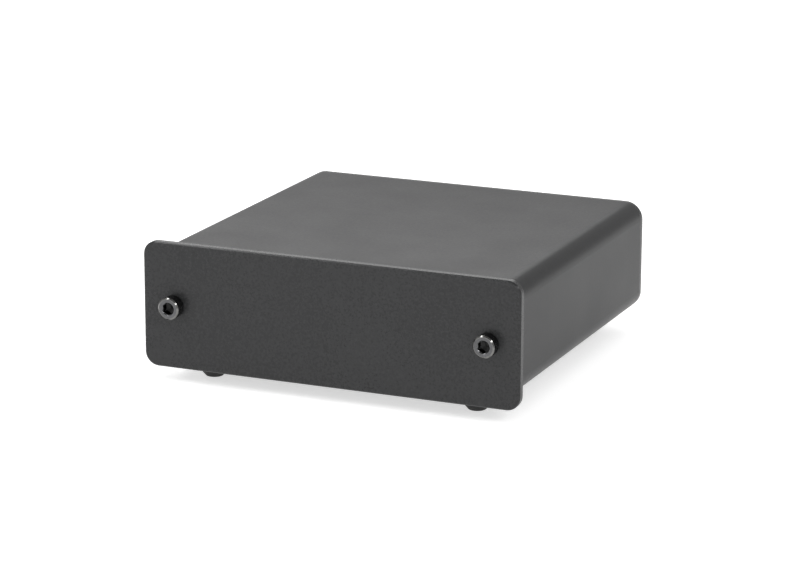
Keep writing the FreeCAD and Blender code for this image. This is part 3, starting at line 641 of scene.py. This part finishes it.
def place_ground_stud(finish):
    """Threaded stud with its collar on the rear plate."""
    low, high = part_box("ground_stud")
    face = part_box("rear_plate")[1].y
    inner, outer = low.y - face, high.y - face
    collar, crest, pitch = (high.x - low.x) / 2, STUD_CREST, STUD_PITCH
    core = crest - pitch * THREAD_DEPTH
    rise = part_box("ground_clamp_washer")[0].y - face
    rim = rise / 6
    stud = turned(
        "stud_core",
        [
            (core * 0.8, inner),
            (core, inner + core * 0.2),
            (core, 0),
            (collar, 0),
            (collar, rise - rim),
            (collar - rim, rise),
            (core, rise),
            (core, outer - core * 0.3),
            (core * 0.7, outer),
        ],
    )
    stud.name = "ground_terminal_stud"
    outside = thread_ridge("outer_thread", crest, pitch, rise, outer - core * 0.3)
    inside = thread_ridge("inner_thread", crest, pitch, inner + core * 0.2, 0)
    join(stud, outside, inside)
    smooth(stud)
    put(stud, (-90, 0, 0), ((low.x + high.x) / 2, face, (low.z + high.z) / 2))
    belongs(stud, finish, "case", "gold_plate", "ground_stud")


def place_thumb_nut(finish):
    """Knurled nut with a dished outer end."""
    low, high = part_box("ground_thumb_nut")
    drum, length = (high.x - low.x) / 2, high.y - low.y
    bore, edge, dish = NUT_BORE, NUT_EDGE, NUT_DISH
    nut = turned(
        "terminal_nut",
        [
            (bore, dish / 2),
            (bore + dish / 2, 0),
            (drum - edge, 0),
            (drum, edge),
            (drum, length - edge),
            (drum - edge, length),
            (drum - edge * 3, length),
            (drum - edge * 3 - dish / 2, length - dish),
            (bore + dish / 2, length - dish),
            (bore, length - dish * 1.5),
            (bore, dish / 2),
        ],
        sides=NUT_SIDES,
        bored=True,
    )
    knurl(nut, drum, NUT_KNURL, 0, length, NUT_SIDES)
    smooth(nut, 30)
    put(nut, (-90, 0, 0), ((low.x + high.x) / 2, low.y, (low.z + high.z) / 2))
    belongs(nut, finish, "ground_thumb_nut", "gold_plate", "ground_thumb_nut")


# --- Legends


def legend(words, height, turns, place, finish):
    """Flat printed lettering, a hair proud of the surface it is on."""
    bpy.ops.object.select_all(action="DESELECT")
    bpy.ops.object.text_add(location=(0, 0, 0))
    letters = bpy.context.object
    letters.data.body = words
    letters.data.size = height * 1.4
    letters.data.align_x = "CENTER"
    letters.data.align_y = "CENTER"
    letters.data.extrude = INK_DEPTH
    letters.data.resolution_u = 6
    bpy.ops.object.convert(target="MESH")
    letters = bpy.context.object
    letters.name = "legend_" + words.lower()
    with Shaping(letters):
        bpy.ops.mesh.select_all(action="SELECT")
        bpy.ops.mesh.remove_doubles(threshold=TINY)
        bpy.ops.mesh.normals_make_consistent(inside=False)
    put(letters, turns, place)
    belongs(letters, finish, "case", "white_insulator")
    return letters


def place_legends(finish):
    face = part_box("rear_plate")[1].y
    on_rear = (90, 0, 180)
    middles = {}
    for pair in ("input", "output"):
        for side in ("left", "right"):
            low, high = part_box(f"{pair}_{side}_shell")
            middles[pair, side] = (low + high) / 2
    height, above, below = LETTER, LETTERS_ABOVE, LETTERS_BELOW
    level = middles["input", "left"].z
    for pair, words in (("input", "IN"), ("output", "OUT")):
        x = (middles[pair, "left"].x + middles[pair, "right"].x) / 2
        legend(words, height, on_rear, (x, face, level + above), finish)
    for (pair, side), spot in middles.items():
        letters = legend(side[0].upper(), height, on_rear, (spot.x, face, level - below), finish)
        letters.name = f"legend_{pair}_{side}"
    for node, words in (("ground_stud", "GND"), ("power_socket_pin", "DC")):
        low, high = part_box(node)
        legend(words, height, on_rear, ((low.x + high.x) / 2, face, level + above), finish)
    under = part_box("sleeve")[0].z
    low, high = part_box("selector_housing")
    small, underneath = SMALL_LETTER, (180, 0, 0)
    for lever in range(1, 5):
        lever_low, lever_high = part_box(f"selector_lever_{lever}")
        x = (lever_low.x + lever_high.x) / 2
        legend(str(lever), small, underneath, (x, low.y - small * 2, under), finish)
    legend("ON", small, underneath, ((low.x + high.x) / 2, high.y + small * 2, under), finish)


make_camera()
make_studio()
FINISHES = finish_table()
for node, finish in FINISHES.items():
    paint(NODES[node], finish)
place_cap_screws(FINISHES["front_cap_screw_left"])
place_ground_stud(FINISHES["ground_stud"])
place_thumb_nut(FINISHES["ground_thumb_nut"])
place_legends(moulded("legend_ink", (0.7, 0.7, 0.68), 0.5, grain=0.0001))
